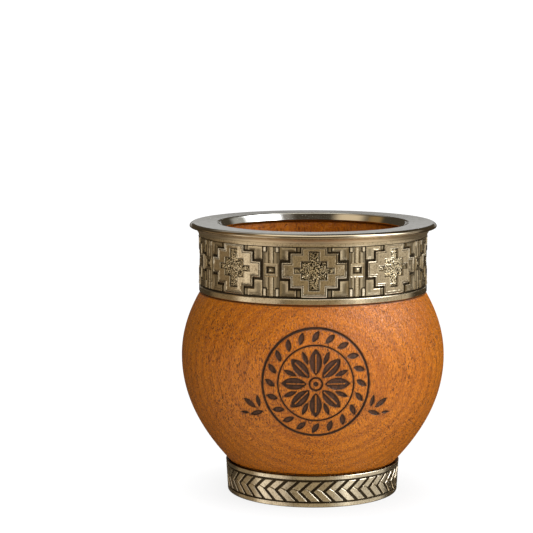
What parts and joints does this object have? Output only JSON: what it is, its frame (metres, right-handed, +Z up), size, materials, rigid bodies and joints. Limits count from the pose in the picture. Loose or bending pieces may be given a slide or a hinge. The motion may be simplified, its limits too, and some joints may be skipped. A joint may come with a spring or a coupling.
{
  "type": "mate cup",
  "caption": "Round-bellied wooden mate cup with a flat metal rim, an embossed metal collar and a chevron-grooved metal foot ring.",
  "frame": {"origin": "centre of the cup's underside, on the surface that it stands on", "axes": "+Z up along the cup's axis, -Y towards the viewer, where the ornament on the wood is"},
  "size_m": [0.0934, 0.0934, 0.0963],
  "materials": {
    "wood": "satin",
    "rim_metal": "polished",
    "collar_metal": "antiqued, embossed",
    "foot_metal": "antiqued, engraved"
  },
  "bodies": {
    "root": {"wood_body": "wood", "rim_ring": "rim_metal", "collar_band": "collar_metal", "foot_ring": "foot_metal"}
  },
  "joints": []
}
